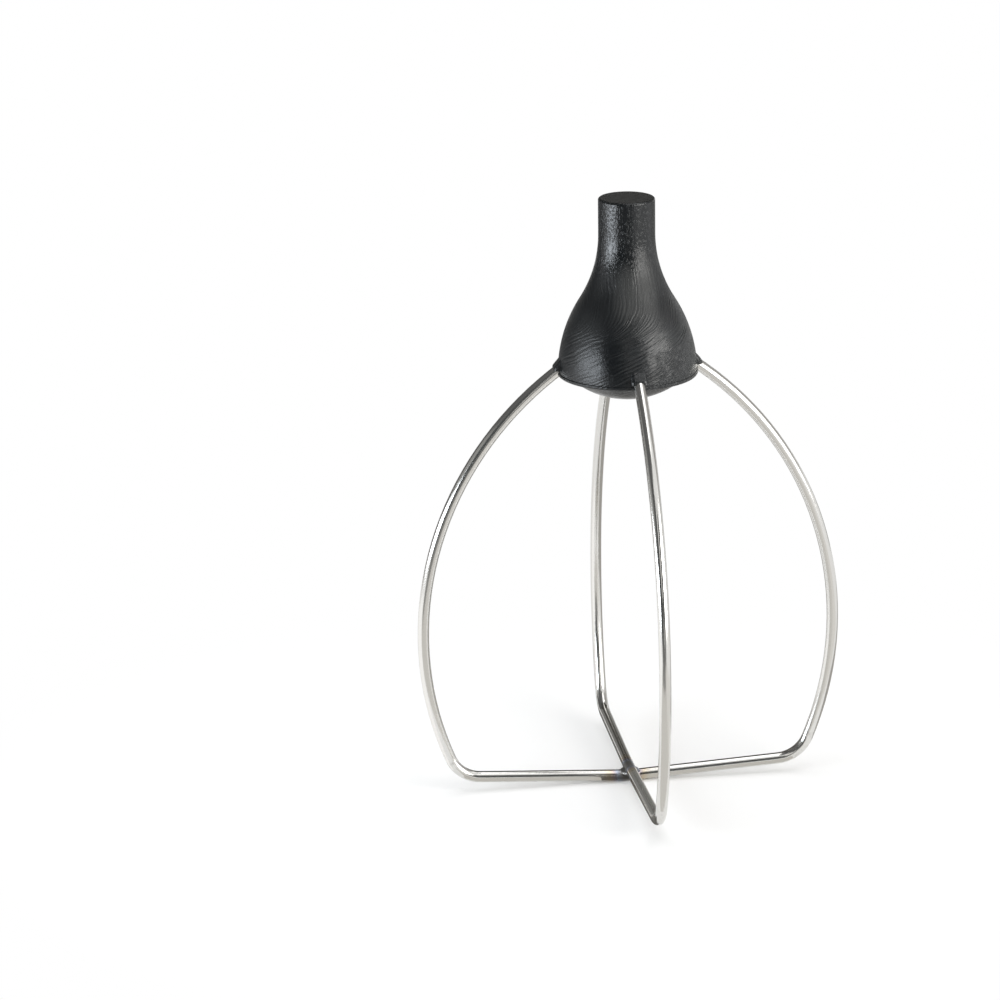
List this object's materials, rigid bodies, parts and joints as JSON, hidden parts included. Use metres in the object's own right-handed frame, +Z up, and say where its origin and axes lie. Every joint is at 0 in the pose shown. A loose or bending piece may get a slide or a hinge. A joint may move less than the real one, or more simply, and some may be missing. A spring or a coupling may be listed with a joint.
{
  "type": "stand mixer wire whisk",
  "caption": "Balloon whisk for a stand mixer: crossed steel wire loops welded at the bottom, held in a black bell-shaped plastic hub with a round stem.",
  "frame": {"origin": "on the stem's axis, at the floor under the lowest point of the wires", "axes": "+Z up along the stem; X along the outer loop; Y along the inner loop, with the latch notch at +Y"},
  "size_m": [0.0932, 0.0932, 0.1321],
  "materials": {
    "hub_plastic": "satin black with fine flow marks",
    "loop_wire": "polished"
  },
  "bodies": {
    "root": {"hub": "hub_plastic", "outer_loop": "loop_wire", "inner_loop": "loop_wire"}
  },
  "joints": []
}
